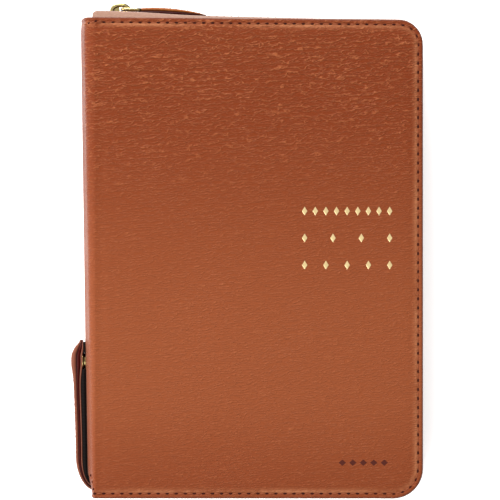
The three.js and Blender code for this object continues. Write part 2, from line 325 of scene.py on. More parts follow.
def woven(name, base, shade, threads, roughness=0.8, relief=0.12, sheen=0.0, place=hide_place):
    """Cloth of crossing threads: threads sets how close they lie, and relief is their height."""
    material, w, shader = new_material(name)
    where = place(w)
    cloth = group_node(w, WEAVE, {"Place": where, "Threads": threads})
    patches = group_node(w, MOTTLE, {"Place": where})
    tone = w.mixed(cloth.outputs["Shade"], shade, base)
    w.put(shader, "Base Color", w.mixed(w.math("MULTIPLY", patches, 0.25), tone, shade))
    w.put(shader, "Roughness", w.mapped(cloth.outputs["Shade"], 0.0, 1.0, roughness + 0.08, roughness - 0.08))
    shader.inputs["Sheen Weight"].default_value = sheen
    shader.inputs["Specular IOR Level"].default_value = 0.12
    bump(w, shader, cloth.outputs["Height"], 0.6, relief)
    return material


def metal(name, base, dark, roughness, scratch=0.02):
    """Polished plating with painted reflection: darker where it turns away, and where it faces the fore-edge
    and head, as from a dark card there.
    """
    material, w, shader = new_material(name)
    where = w.scaled(object_place(w), 1 / MM)
    brushed = w.noise(w.vector("MULTIPLY", where, (9.0, 2.0, 9.0)), 1.0, 4.0)
    smudge = w.mapped(w.noise(where, 0.7, 3.0), 0.3, 0.75, 0.0, 0.25)
    # Painted reflection: the rim turned from view and the faces towards the fore-edge and head take the dark
    # colour.
    painted_dark_rim = w.mapped(w.add("ShaderNodeLayerWeight", {"Blend": 0.45}).outputs["Facing"], 0.25, 0.9)
    facing = w.add("ShaderNodeNewGeometry").outputs["Normal"]
    painted_dark_card = w.vector("DOT_PRODUCT", facing, (0.85, 0.5, 0)).outputs["Value"]
    shade = w.math("MAXIMUM", smudge, w.math("MAXIMUM", painted_dark_rim, w.mapped(painted_dark_card, 0.2, 0.6)))
    w.put(shader, "Base Color", w.mixed(shade, base, dark))
    w.put(shader, "Roughness", w.mapped(brushed, 0.2, 0.8, roughness - 0.06, roughness + 0.08))
    shader.inputs["Metallic"].default_value = 1.0
    bump(w, shader, brushed, 0.2, scratch)
    return material


def plain_fibres(name, base, dark, scale, roughness, relief):
    """Paper, card or nylon: fine fibres or mould marks over one colour."""
    material, w, shader = new_material(name)
    where = w.scaled(object_place(w), 1 / MM)
    fibres = w.noise(where, scale, 5.0)
    clouds = w.noise(where, 0.05, 3.0)
    tone = w.mixed(w.mapped(fibres, 0.3, 0.75), dark, base)
    w.put(shader, "Base Color", w.mixed(w.math("MULTIPLY", w.mapped(clouds, 0.4, 0.7), 0.25), tone, dark))
    w.put(shader, "Roughness", w.mapped(fibres, 0.2, 0.8, roughness - 0.06, roughness + 0.06))
    shader.inputs["Specular IOR Level"].default_value = 0.15
    bump(w, shader, fibres, 0.5, relief)
    return material


def printed_page():
    """Thin paper with two columns of grey lines standing in for small print: no letters."""
    material, w, shader = new_material("printed_page")
    where = w.scaled(object_place(w), 1 / MM)
    parts = w.add("ShaderNodeSeparateXYZ", {0: where})
    across, upward = parts.outputs[0], parts.outputs[1]
    gap, margin, text_end, fade = 2.2, 61.0, 92.0, 0.2
    lines_per_mm = 0.36
    from_gap = w.math("ABSOLUTE", across)
    past_gap = w.mapped(from_gap, gap, gap + fade)
    before_margin = w.mapped(from_gap, margin, margin + fade, 1.0, 0.0)
    height = w.mapped(w.math("ABSOLUTE", upward), text_end, text_end + fade, 1.0, 0.0)
    level = w.math("MULTIPLY", upward, lines_per_mm)
    from_line = w.math("ABSOLUTE", w.math("SUBTRACT", w.math("FRACT", level), 0.5))
    in_line = w.mapped(from_line, 0.19, 0.24, 1.0, 0.0)
    # Each line breaks into words of its own.
    word_across = w.math("MULTIPLY", across, 0.9)
    word_line = w.math("MULTIPLY", w.math("FLOOR", level), 7.3)
    word_place = w.add("ShaderNodeCombineXYZ", {0: word_across, 1: word_line})
    words = w.mapped(w.noise(word_place, 1.0, 1.0), 0.38, 0.44)
    strokes = w.mapped(w.noise(where, 3.2, 1.0), 0.3, 0.6, 0.35, 1.0)
    ink = past_gap
    for factor in (before_margin, height, in_line, words, strokes):
        ink = w.math("MULTIPLY", ink, factor)
    fibres = w.noise(where, 1.5, 5.0)
    sheet = w.mixed(w.mapped(fibres, 0.3, 0.7), colour(183, 175, 152), colour(194, 187, 167))
    w.put(shader, "Base Color", w.mixed(w.math("MULTIPLY", ink, 0.62), sheet, colour(46, 43, 42)))
    shader.inputs["Roughness"].default_value = 0.75
    bump(w, shader, fibres, 0.3, 0.03)
    return material


def gilt_edge():
    """The cut edges of the leaves: gilding broken by fine lines between the leaves."""
    material, w, shader = new_material("gilt_edge")
    where = w.scaled(object_place(w), 1 / MM)
    layers = w.noise(w.vector("MULTIPLY", where, (0.05, 0.05, 11.0)), 1.0, 3.0)
    rubs_and_highlights = w.noise(where, 0.25, 4.0)
    lines = w.mapped(layers, 0.35, 0.65)
    w.put(shader, "Base Color", w.mixed(lines, colour(150, 112, 52), colour(226, 188, 108)))
    w.put(shader, "Metallic", w.mapped(rubs_and_highlights, 0.35, 0.7, 0.9, 0.55))
    w.put(shader, "Roughness", w.mapped(layers, 0.2, 0.8, 0.5, 0.32))
    bump(w, shader, layers, 0.6, 0.05)
    return material


def striped_band():
    """Silk wound in red and cream stripes."""
    material, w, shader = new_material("striped_band")
    parts = w.add("ShaderNodeSeparateXYZ", {0: w.scaled(object_place(w), 1 / MM)})
    stripe = w.mapped(w.math("SINE", w.math("MULTIPLY", parts.outputs[2], 4.2)), -0.25, 0.25)
    w.put(shader, "Base Color", w.mixed(stripe, colour(150, 40, 38), colour(228, 206, 160)))
    shader.inputs["Roughness"].default_value = 0.55
    shader.inputs["Sheen Weight"].default_value = 0.3
    bump(w, shader, w.math("SINE", w.math("MULTIPLY", parts.outputs[2], 16.0)), 0.5, 0.08)
    return material


def make_materials():
    # Crest colours are painted highlights on the grain's raised lines.
    cognac, crest_highlight = colour(119, 59, 30), colour(143, 80, 46)
    lining, lining_crest_highlight = colour(124, 84, 54), colour(146, 106, 74)
    satin = {"threads": 9000.0, "roughness": 0.45, "relief": 0.05, "sheen": 0.4}
    return {
        # The cover's darker ground is painted shade towards its head and tail.
        "cover": leather("cover_hide", cognac, crest_highlight, 0.9, 0.4, 0.5, 0.38, painted_shade_ground=colour(100, 40, 12)),
        "gusset": leather("gusset_hide", colour(120, 89, 74), colour(140, 110, 95), 0.2, 0.4, 0.52, 0.12),
        "strap": leather("strap_hide", colour(110, 64, 48), colour(132, 84, 66), 0.2, 0.4, 0.5, 0.1),
        "pull": leather("pull_hide", colour(132, 72, 30), colour(156, 98, 50), 0.2, 0.35, 0.48, 0.08),
        # Dark maroon: the strap's painted edge, and painted shade on the pull's underside.
        "core": leather("painted_strap_edge_and_pull_shade", colour(48, 4, 2), colour(62, 9, 6), 0.2, 0.4, 0.4, 0.06),
        "lining": leather("lining_hide", lining, lining_crest_highlight, 0.15, 0.6, 0.55, 0.06, place=object_place),
        "tape": woven("zip_tape", colour(84, 42, 28), colour(42, 18, 12), 4200.0),
        # Near black: the tape end fills the gap by the spine as painted shade.
        "tape_end": woven("zip_tape_end", colour(12, 6, 4), colour(4, 2, 2), 4200.0),
        "ribbon_red": woven("ribbon_red", colour(128, 24, 30), colour(76, 10, 16), **satin),
        "ribbon_gold": woven("ribbon_gold", colour(176, 138, 66), colour(118, 82, 34), **satin),
        "mull": woven("mull_cloth", colour(176, 166, 142), colour(120, 110, 88), 3200.0, place=object_place),
        # The dark gold is painted reflection for the plating's turned rims and sides.
        "gold": metal("polished_gold", colour(196, 178, 120), colour(62, 46, 12), 0.16),
        "foil": metal("gold_foil", colour(238, 212, 158), colour(190, 160, 100), 0.34, 0.05),
        "coil": plain_fibres("nylon_coil", colour(122, 68, 46), colour(72, 36, 22), 1.2, 0.4, 0.03),
        "thread": plain_fibres("sewing_thread", colour(138, 74, 44), colour(104, 50, 28), 6.0, 0.6, 0.08),
        # Needle holes: dark balls that are painted shade in the holes' hollows.
        "hole": plain_fibres("needle_hole_shade", colour(58, 10, 2), colour(34, 5, 1), 2.0, 0.9, 0.05),
        "burnt": plain_fibres("pressed_mark", colour(74, 24, 10), colour(56, 16, 6), 2.5, 0.6, 0.05),
        "board": plain_fibres("grey_board", colour(136, 128, 116), colour(104, 96, 86), 1.4, 0.9, 0.08),
        "endpaper": plain_fibres("endpaper", colour(178, 166, 140), colour(164, 151, 124), 0.8, 0.8, 0.04),
        "page": printed_page(),
        "gilt": gilt_edge(),
        "band": striped_band(),
    }


# ---------------------------------------------------------------- mesh helpers


def place_in_scene(name, mesh):
    piece = bpy.data.objects.new(name, mesh)
    bpy.context.scene.collection.objects.link(piece)
    return piece


def make_piece(name, points, faces, material, uvs=None, edge=None, rub_and_highlight=None):
    """A mesh piece from points in millimetres, closed, with its faces pointing out."""
    mesh = bpy.data.meshes.new(name)
    mesh.from_pydata([Vector(p) * MM for p in points], [], faces)
    if uvs:
        layer = mesh.uv_layers.new(name="hide")
        for loop in mesh.loops:
            u, v = uvs[loop.vertex_index]
            layer.data[loop.index].uv = (u * MM, v * MM)
    for attribute, values in (("edge", edge), ("rub_and_highlight", rub_and_highlight)):
        if values:
            mesh.attributes.new(attribute, "FLOAT", "POINT").data.foreach_set("value", values)
    mesh.materials.append(material)
    shell = bmesh.new()
    shell.from_mesh(mesh)
    bmesh.ops.remove_doubles(shell, verts=shell.verts, dist=1e-7)
    bmesh.ops.recalc_face_normals(shell, faces=shell.faces)
    for face in shell.faces:
        face.smooth = True
    shell.to_mesh(mesh)
    shell.free()
    return place_in_scene(name, mesh)


def strip_faces(rings):
    """Faces of a strip. A ring runs along its outer side and back along its inner side."""
    n = len(rings[0])
    faces = []
    for i in range(len(rings) - 1):
        for j in range(n):
            k = (j + 1) % n
            faces.append((i * n + j, i * n + k, (i + 1) * n + k, (i + 1) * n + j))
    for start in (0, (len(rings) - 1) * n):
        for j in range(n // 2 - 1):
            faces.append((start + j, start + j + 1, start + n - 2 - j, start + n - 1 - j))
    return faces


def running_lengths(points):
    total, lengths = 0.0, [0.0]
    for a, b in zip(points, points[1:]):
        total += (Vector(b) - Vector(a)).length
        lengths.append(total)
    return lengths


def strip_piece(name, rings, material):
    """A soft strip lofted through its rings, with the hide's grain running along it."""
    along = running_lengths([ring[0] for ring in rings])
    half = len(rings[0]) // 2
    across = running_lengths(rings[0][:half])
    across += across[::-1]
    uvs = [(u, v) for u in along for v in across]
    points = [p for ring in rings for p in ring]
    return make_piece(name, points, strip_faces(rings), material, uvs)


def finish(piece, body, slot, *nodes):
    """Puts a piece on its body, in place of the nodes it stands for; the slot is not used."""
    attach(piece, body)
    if nodes:
        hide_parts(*nodes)


def finish_blend(piece, other, start, end, slot, *nodes):
    """For a soft piece that starts on the book and ends on another body: bakes its place into its points and
    hides the nodes it stands for.
    """
    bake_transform(piece)
    if nodes:
        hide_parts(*nodes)


# ---------------------------------------------------------------- rows made by Geometry Nodes


def row_tree():
    """Copies of one small piece along a path, turned to follow it."""
    tree = bpy.data.node_groups.new("row_along_path", "GeometryNodeTree")
    face = tree.interface
    face.new_socket(name="Path", in_out="INPUT", socket_type="NodeSocketGeometry")
    face.new_socket(name="Piece", in_out="INPUT", socket_type="NodeSocketObject")
    face.new_socket(name="Spacing", in_out="INPUT", socket_type="NodeSocketFloat")
    face.new_socket(name="Shift", in_out="INPUT", socket_type="NodeSocketFloat")
    face.new_socket(name="Material", in_out="INPUT", socket_type="NodeSocketMaterial")
    face.new_socket(name="Row", in_out="OUTPUT", socket_type="NodeSocketGeometry")
    w = Wiring(tree)
    given = w.add("NodeGroupInput").outputs
    curve = w.add("GeometryNodeMeshToCurve", {0: given["Path"]})
    even = w.add("GeometryNodeResampleCurve", {"Curve": curve, "Length": given["Spacing"]}, mode="LENGTH")
    tangent = w.add("GeometryNodeInputTangent")
    turn = w.add("FunctionNodeAlignRotationToVector", {"Vector": tangent}, axis="X", pivot_axis="Z")
    shape = w.add("GeometryNodeObjectInfo", {"Object": given["Piece"]})
    step = w.scaled(tangent, given["Shift"])
    moved = w.add("GeometryNodeSetPosition", {"Geometry": even, "Offset": step})
    sockets = {"Points": moved, "Instance": shape.outputs["Geometry"], "Rotation": turn}
    copies = w.add("GeometryNodeInstanceOnPoints", sockets)
    real = w.add("GeometryNodeRealizeInstances", {0: copies})
    painted = w.add("GeometryNodeSetMaterial", {"Geometry": real, "Material": given["Material"]})
    w.add("NodeGroupOutput", {0: painted})
    return tree


ROW = row_tree()


def small_ball(length, width, height, rings=5):
    """A rounded piece of a few dozen faces, in millimetres, for a row."""
    shell = bmesh.new()
    bmesh.ops.create_uvsphere(shell, u_segments=8, v_segments=rings, radius=0.5)
    for vertex in shell.verts:
        x, y, z = vertex.co
        vertex.co = (x * length * MM, y * width * MM, z * height * MM)
    for face in shell.faces:
        face.smooth = True
    mesh = bpy.data.meshes.new("small_ball")
    shell.to_mesh(mesh)
    shell.free()
    return place_in_scene("small_ball", mesh)


def lozenge(length, width, height):
    """A four-cornered flat piece with a chamfered rim."""
    rim, face_size = height * 0.4, 0.8
    points = []
    for level, size in ((0, 1), (rim, 1), (height, face_size)):
        points += [(size * length / 2, 0, level), (0, size * width / 2, level)]
        points += [(-size * length / 2, 0, level), (0, -size * width / 2, level)]
    faces = [(3, 2, 1, 0), (8, 9, 10, 11)]
    for base in (0, 4):
        faces += [(base + j, base + (j + 1) % 4, base + 4 + (j + 1) % 4, base + 4 + j) for j in range(4)]
    mesh = bpy.data.meshes.new("lozenge")
    mesh.from_pydata([Vector(p) * MM for p in points], [], faces)
    return place_in_scene("lozenge", mesh)


def row(name, path, item, spacing, shift, material):
    """A plain mesh of copies of item along path."""
    mesh = bpy.data.meshes.new(name)
    mesh.from_pydata([Vector(p) * MM for p in path], [(i, i + 1) for i in range(len(path) - 1)], [])
    carrier = place_in_scene(name, mesh)
    modifier = carrier.modifiers.new("row", "NODES")
    modifier.node_group = ROW
    wanted = {"Piece": item, "Spacing": spacing * MM, "Shift": shift * MM, "Material": material}
    for socket in ROW.interface.items_tree:
        if socket.in_out == "INPUT" and socket.name in wanted:
            modifier[socket.identifier] = wanted[socket.name]
    graph = bpy.context.evaluated_depsgraph_get()
    made = bpy.data.meshes.new_from_object(carrier.evaluated_get(graph), depsgraph=graph)
    carrier.modifiers.clear()
    carrier.data = made
    made.name = name
    return carrier


def join_pieces(name, pieces):
    """One piece from several plain meshes that share their materials."""
    shell = bmesh.new()
    materials = []
    for piece in pieces:
        mesh = piece.data
        for material in mesh.materials:
            if material not in materials:
                materials.append(material)
        places = [materials.index(material) for material in mesh.materials] or [0]
        before = len(shell.faces)
        shell.from_mesh(mesh)
        shell.faces.ensure_lookup_table()
        for face in shell.faces[before:]:
            face.material_index = places[min(face.material_index, len(places) - 1)]
        bpy.data.objects.remove(piece)
    mesh = bpy.data.meshes.new(name)
    for material in materials:
        mesh.materials.append(material)
    shell.to_mesh(mesh)
    shell.free()
    return place_in_scene(name, mesh)


# ---------------------------------------------------------------- courses round the book


def spaced(start, end, steps):
    return [lerp(start, end, step / steps) for step in range(steps + 1)]


def three_sides(fore, head, tail, radii, slopes, offset, start_x, end_x):
    """Points and outward normals from the spine along head, fore-edge and tail back to the spine."""
    head_radius, tail_radius = radii
    head_angle = math.pi / 2 - math.atan(slopes[0])
    tail_angle = -math.pi / 2 + math.atan(slopes[1])
    straight, turn, side = 30, 12, 40
    head_centre = Vector((fore - head_radius, head - head_radius))
    tail_centre = Vector((fore - tail_radius, tail + tail_radius))
    course = []

    def arc(centre, radius, first, last):
        for angle in spaced(first, last, turn):
            normal = Vector((math.cos(angle), math.sin(angle)))
            course.append((centre + normal * (radius + offset), normal))

    arc(head_centre, head_radius, head_angle, 0)
    first, normal = course[0]
    # Stations lie closer at the start, where a gusset turns in.
    close = [start_x + step for step in (0, 0.25, 0.6, 1.1, 1.8, 2.8)]
    stations = close + spaced(start_x + 4.5, first.x, straight)
    lead = [Vector((x, first.y + slopes[0] * (first.x - x))) for x in stations]
    course[:0] = [(point, normal) for point in lead[:-1]]
    top, bottom = course[-1][0], tail_centre + Vector((tail_radius + offset, 0))
    course += [(top.lerp(bottom, step / side), Vector((1, 0))) for step in range(1, side)]
    arc(tail_centre, tail_radius, 0, tail_angle)
    last, normal = course[-1]
    for x in spaced(last.x, end_x, straight)[1:]:
        course.append((Vector((x, last.y + slopes[1] * (last.x - x))), normal))
    return course


def zip_course(offset, start_x, end_x, head_offset=0.0):
    """The zip's line. Along the head it sags a little between the slider and the corner."""
    radii, slopes = (ZIP_HEAD_RADIUS, ZIP_TAIL_RADIUS), (HEAD_SLOPE, TAIL_SLOPE)
    ease = 40
    course = []
    for point, normal in three_sides(ZIP_FORE, ZIP_HEAD, ZIP_TAIL, radii, slopes, offset, start_x, end_x):
        if point.y > 0:
            away = smooth((point.x - ZIP_START - 8) / ease)
            sag = ZIP_SAG * away * smooth((ZIP_FORE - 10 - point.x) / ease)
            point = point + normal * (head_offset * (1 - away) - sag)
        course.append((point, normal))
    return course


def cover_course(inset, start_x, end_x):
    """A line inside the cover's outline."""
    radii = (HEAD_RADIUS, TAIL_RADIUS)
    return three_sides(FORE, TOP, -TOP, radii, (0, 0), -inset, start_x, end_x)


# ---------------------------------------------------------------- the cover's leather


def spine_x(y):
    """Where the spine's shoulder ends: the book is a little narrower at its tail."""
    return SPINE_HEAD + SPINE_TAPER * (TOP - y) / (2 * TOP)


def spine_bulge(y):
    """How far the rounded spine swells at the middle of its thickness: a little more at its tail."""
    swell = SPINE_SWELL + TAIL_SWELL * (TOP - y) / (2 * TOP)
    return swell * smooth((TOP + y - 2.5) / 9) * smooth((TOP - y + 4) / 6)


def spine_surface(y, z):
    """The x of the spine's outer face."""
    return spine_x(y) - spine_bulge(y) * math.cos((z - MIDDLE) / (MIDDLE - SHOULDER) * math.pi / 2)


def cover_height(x, y):
    """The height of the front cover's leather before its border sinks."""
    d = border(x, y)
    lift = soft_wave(x, y) * smooth((d - 5) / 15) * smooth((x - CREASE) / 12)
    crease = 0.3 * math.exp(-(((x - CREASE - 1.5) / 1.6) ** 2))
    return THICK + lift - crease


def fore_x(y):
    """The cover's fore-edge at one height, with its round corners."""
    for corner, radius in ((TOP - y, HEAD_RADIUS), (TOP + y, TAIL_RADIUS)):
        if corner < radius:
            return FORE - radius + math.sqrt(max(radius**2 - (radius - corner) ** 2, 0))
    return FORE


def border(x, y):
    """How far a point of a cover is from the cover's outline."""
    for sign, radius in ((1, HEAD_RADIUS), (-1, TAIL_RADIUS)):
        dx, dy = x - (FORE - radius), sign * y - (TOP - radius)
        if dx > 0 and dy > 0:
            return radius - math.hypot(dx, dy)
    return min(FORE - x, TOP - y, TOP + y)


def edge_relief(d):
    """How far the leather's face sinks at a distance d from its edge: rolled, grooved, then padded."""
    inside = max(ROLL - max(d, 0), 0)
    roll = ROLL - math.sqrt(max(ROLL**2 - inside**2, 0))
    groove = GROOVE_DEPTH * math.exp(-(((d - STITCH_INSET) / 0.55) ** 2))
    step = BORDER_DROP * (1 - smooth((d - 3.2) / 4))
    return -(roll + groove + step)


EDGE_STEPS = [0, 0.12, 0.3, 0.55, 0.9, 1.4, 1.8, 2.1, 2.5, 2.8, 3.3, 4.2, 5.5, 7.5, 10]
PANEL_STEPS = EDGE_STEPS + spaced(12, FORE - CREASE - 1.5, 62)
PANEL_COLUMNS = len(PANEL_STEPS)
BEND_WIDTH = 2.0


def cover_rows():
    """Heights of the skin's rows: close at head and tail, and round the corners' arcs."""
    heights = spaced(-TOP + 12, TOP - 12, 62)
    for step in EDGE_STEPS:
        heights += [TOP - step, step - TOP]
    for k in range(1, 10):
        rise = math.sin(k / 10 * math.pi / 2)
        heights += [TOP - HEAD_RADIUS * (1 - rise), TAIL_RADIUS * (1 - rise) - TOP]
    least_gap = 0.09
    kept = []
    for y in sorted(heights):
        if not kept or y - kept[-1] > least_gap:
            kept.append(y)
    return kept


def soft_wave(x, y):
    """The gentle unevenness of a padded cover."""
    return 0.1 * math.sin(x / 31 + 0.7) * math.sin(y / 37 + 1.9) + 0.05 * math.sin(x / 13 - y / 17)


def past_mouth(y, z):
    """Heights on the spine: its tail edge stands back at the middle to let the zip's end through."""
    depth, half_width, ease = 7.0, 6.2, 2.8
    back = depth * (1 - smooth((abs(z - MIDDLE) - half_width) / ease))
    return y + back * (TOP - y) / (2 * TOP)


def girth(y):
    """(point, normal, distance to the edge) round the outside, from the front fore-edge to the back's."""
    profile = []
    edge = fore_x(y)
    width = edge - CREASE
    for step in PANEL_STEPS:
        x = edge - step * width / (FORE - CREASE)
        profile.append((Vector((x, y, cover_height(x, y))), Vector((0, 0, 1)), border(x, y)))
    reach = CREASE - spine_x(y)
    head_or_tail = min(TOP - y, TOP + y)
    for angle in spaced(0, math.pi / 2, 12):
        across, up = math.sin(angle), math.cos(angle)
        z = THICK - SHOULDER + SHOULDER * up
        point = Vector((CREASE - reach * across, past_mouth(y, z) if across > 0.4 else y, z))
        normal = Vector((-SHOULDER * across, 0, reach * up)).normalized()
        profile.append((point, normal, head_or_tail))
    for z in spaced(THICK - SHOULDER, MIDDLE, 14)[1:]:
        at = past_mouth(y, z)
        point = Vector((spine_surface(at, z), at, z))
        profile.append((point, Vector((-1, 0, 0)), min(TOP - at, at - past_mouth(-TOP, z))))
    mirrored = [
        (Vector((p.x, p.y, THICK - p.z)), Vector((n.x, n.y, -n.z)), d) for p, n, d in reversed(profile[:-1])
    ]
    return profile + mirrored


def settled(x, y):
    """The hand-cut head edge isn't quite square: it drops a little towards the fore-edge."""
    raised, dropped = 0.75, -0.6
    return y + lerp(raised, dropped, (x - CREASE) / (FORE - CREASE)) * smooth((y - 70) / 40)


def wear_and_highlight(d):
    """How far the leather beside the stitches is lightened: partly dye rubbed off, partly a painted highlight
    on the padded rise.
    """
    return 0.75 * math.exp(-(((d - 3.3) / 0.9) ** 2))


def skin_part(name, part, material):
    """One part of the hide that wraps front, spine and back: part is its slice of the girth."""
    rings, uvs, edge, rub_and_highlight = [], [], [], []
    for y in cover_rows():
        stations = girth(y)
        lengths = running_lengths([point for point, _, _ in stations])
        outer, inner, marks, rubs_and_highlights = [], [], [], []
        for point, normal, d in stations[part]:
            place = Vector((point.x, settled(point.x, point.y), point.z))
            outer.append(place + normal * edge_relief(d))
            inner.append(place - normal * (HIDE + 0.02))
            marks.append(1 - smooth(d / 0.8))
            rubs_and_highlights.append(wear_and_highlight(d))
        rings.append(outer + inner[::-1])
        edge += marks + marks[::-1]
        rub_and_highlight += rubs_and_highlights + rubs_and_highlights[::-1]
        across = [lengths[-1] / 2 - length for length in lengths[part]]
        uvs += [(value, y) for value in across + across[::-1]]
    points = [p for ring in rings for p in ring]
    return make_piece(name, points, strip_faces(rings), material, uvs, edge, rub_and_highlight)


def make_cover_skin(material):
    """The front and spine make one piece, and the back another that lies still."""
    wrap = skin_part("front_and_spine_skin", slice(None, -PANEL_COLUMNS), material)
    start, end = (CREASE, 0, MIDDLE), (CREASE + BEND_WIDTH, 0, MIDDLE)
    finish_blend(wrap, "front_cover", start, end, "cover_leather", "front_leather", "spine_leather")
    back = skin_part("back_skin", slice(-PANEL_COLUMNS - 1, None), material)
    finish(back, "book", "cover_leather", "back_leather")


def stitch_row(name, path, materials, body, spacing=STITCH_PITCH, size=1.0):
    """Threads lying between dark needle holes: the holes are dark balls, painted shade for their hollows."""
    thread = small_ball(spacing * 0.62, 0.6 * size, 0.42 * size)
    hole = small_ball(spacing * 0.42, 1.05 * size, 0.42 * size)
    threads = row(name + "_threads", path, thread, spacing, 0.0, materials["thread"])
    holes = row(name + "_holes", path, hole, spacing, spacing / 2, materials["hole"])
    for item in (thread, hole):
        bpy.data.objects.remove(item)
    finish(join_pieces(name, [threads, holes]), body, "cover_leather")


def shoulder_height(x, y):
    """The height of the leather on the shoulder between the crease and the spine."""
    across = min((CREASE - x) / (CREASE - spine_x(y)), 1)
    return THICK - SHOULDER + SHOULDER * math.sqrt(1 - across**2)


def tack(name, points, materials):
    """A few stitches that fasten a corner of the spine's leather."""
    path = [(x, settled(x, y), shoulder_height(x, y) - 0.12) for x, y in points]
    stitch_row(name, path, materials, "book", 3.2)


def cover_stitches(materials):
    """The stitched border of both covers, and the tacks on the shoulder."""
    sunk = edge_relief(STITCH_INSET) + 0.08
    first_stitch, last_stitch = CREASE + 1.6, CREASE + 1.5
    for side, body, level in (("front", "front_cover", THICK + sunk), ("back", "book", -sunk)):
        course = cover_course(STITCH_INSET, first_stitch, last_stitch)
        path = [(p.x, settled(p.x, p.y), level) for p, _ in course]
        stitch_row(f"{side}_border_stitches", path, materials, body)
    head, tail = TOP - STITCH_INSET, STITCH_INSET - TOP
    tack("head_tack", [(CREASE - 4.6, head - 1.0), (CREASE - 1.4, head)], materials)
    tail_places = ((0.9, 0.5), (1.3, 3.7), (2.1, 6.9))
    tack("tail_tack", [(CREASE - back, tail + up) for back, up in tail_places], materials)


# ---------------------------------------------------------------- gussets, tapes and coils


def gusset(side, materials):
    """The leather wall between a cover's edge and the zip, bellying out a little."""
    front = side == "front"
    facing = 1 if front else -1
    start_x, end_x = CREASE - 1.9, CREASE + (1.4 if front else 0.4)
    head_offset = 0.7
    top_path = cover_course(0.9, start_x, end_x)
    zip_path = zip_course(0.95, start_x, end_x, head_offset)
    at_cover, at_zip = MIDDLE - 1.25, 5.0
    wall, lip = 1.0, 0.55
    turn_length, turn_depth = 2.6, 1.6
    rings = []
    for (top, _), (bottom, normal) in zip(top_path, zip_path):
        head_half = top.y > 0
        # The wall's first end is turned in round the head of the spine.
        from_end = top.x - start_x if head_half else turn_length
        turn = 1 - math.sqrt(max(1 - max(1 - from_end / turn_length, 0) ** 2, 0))
        outer, inner = [], []
        for w in spaced(0, 1, 11):
            level = lerp(at_cover, at_zip, w)
            tuck = lip * smooth((w - 0.9) / 0.1)
            belly = (0.75 if head_half else 1.1) * math.sin(math.pi * w) - tuck - turn_depth * turn
            at = top.lerp(bottom, smooth(w * 1.4)) + normal * belly
            back = at - normal * (wall - tuck)
            outer.append(Vector((at.x, at.y, MIDDLE + facing * level)))
            inner.append(Vector((back.x, back.y, MIDDLE + facing * level)))
        rings.append(outer + inner[::-1])
    piece = strip_piece(f"{side}_gusset_skin", rings, materials["gusset"])
    body = "front_cover" if front else "book"
    finish(piece, body, "cover_leather", f"{side}_gusset")
    z = MIDDLE + facing * (at_zip + 2.0)
    path = [(p.x, p.y, z) for p, _ in zip_course(1.42, start_x + 5, end_x + 1, head_offset)]
    stitch_row(f"{side}_gusset_stitches", path, materials, body, 3.4, 0.8)


def tape(side, materials):
    """One woven half of the zip, thinner at its two long edges."""
    front = side == "front"
    near, far = 0.75, 7.4
    rings = []
    for p, normal in zip_course(0.0, ZIP_START if front else CREASE - 2, ZIP_END):
        outer, inner = [], []
        for w in spaced(0, 1, 5):
            z = MIDDLE + (1 if front else -1) * lerp(near, far, w)
            half = TAPE_HALF * (0.6 + 0.4 * math.sin(math.pi * w))
            outer.append(Vector((*(p + normal * half), z)))
            inner.append(Vector((*(p - normal * half), z)))
        rings.append(outer + inner[::-1])
    piece = strip_piece(f"{side}_tape", rings, materials["tape"])
    finish(piece, "front_cover" if front else "book", "zip_tape", f"{side}_zip_tape")


def coil(side, materials):
    """The nylon loops of one row: they pass between the loops of the other row."""
    front = side == "front"
    pitch = 1.5
    level = MIDDLE + (1.1 if front else -1.1)
    path = [(p.x, p.y, level) for p, _ in zip_course(0.0, COIL_START, ZIP_END)]
    loop = small_ball(0.82, 2.5, 3.5, rings=6)
    piece = row(f"{side}_coil", path, loop, pitch, 0.0 if front else pitch / 2, materials["coil"])
    bpy.data.objects.remove(loop)
    finish(piece, "front_cover" if front else "book", "zip_coil", f"{side}_zip_coil")


# ---------------------------------------------------------------- the tail strap


BEND_CENTRE = Vector((-72.6, -92.5))
BEND_ACROSS = 8.7
BEND_ALONG = 15.0
HALF_IN_CORNER = 1.0
HALF_AT_BEND = 1.55
HALF_AT_TIP = 1.75
SNAP_SWELL = 1.0


def strap_centre(y):
    """The strap leans away from the spine up to the snap, and its tip leans back."""
    lean, tip_lean = 1.0, 2.0
    away = lean * smooth((y - BEND_CENTRE.y) / 43)
    return BEND_CENTRE.x - BEND_ACROSS - away + tip_lean * smooth((y + 46) / 8)


def strap_half(y):
    """Half the strap's thickness along its straight run."""
    run = (y - BEND_CENTRE.y) / (STRAP_TOP - BEND_CENTRE.y)
    swell = SNAP_SWELL * math.exp(-(((y - SNAP.y) / 6.5) ** 2))
    tip_length = 4.5
    thinned = 0.62 * smooth((y - STRAP_TOP + tip_length) / tip_length)
    return (lerp(HALF_AT_BEND, HALF_AT_TIP, run) + swell) * (1 - thinned)


STRAP_LEFT = strap_centre(SNAP.y) - strap_half(SNAP.y)
STRAP_RIGHT = strap_centre(SNAP.y) + strap_half(SNAP.y)


def strap_bend(first_y):
    """The stations of strap_line round the bend, from inside the tail corner."""
    stations = []
    for angle in spaced(math.radians(104), 0, 26):
        c, s = math.cos(angle), math.sin(angle)
        point = BEND_CENTRE + Vector((-BEND_ACROSS * math.copysign(abs(c) ** 0.85, c), -BEND_ALONG * s))
        normal = Vector((-c / BEND_ACROSS, -s / BEND_ALONG)).normalized()
        if point.x > BEND_CENTRE.x or point.y > first_y:
            stations.append((point, normal, lerp(HALF_AT_BEND, HALF_IN_CORNER, smooth(angle))))
    return stations


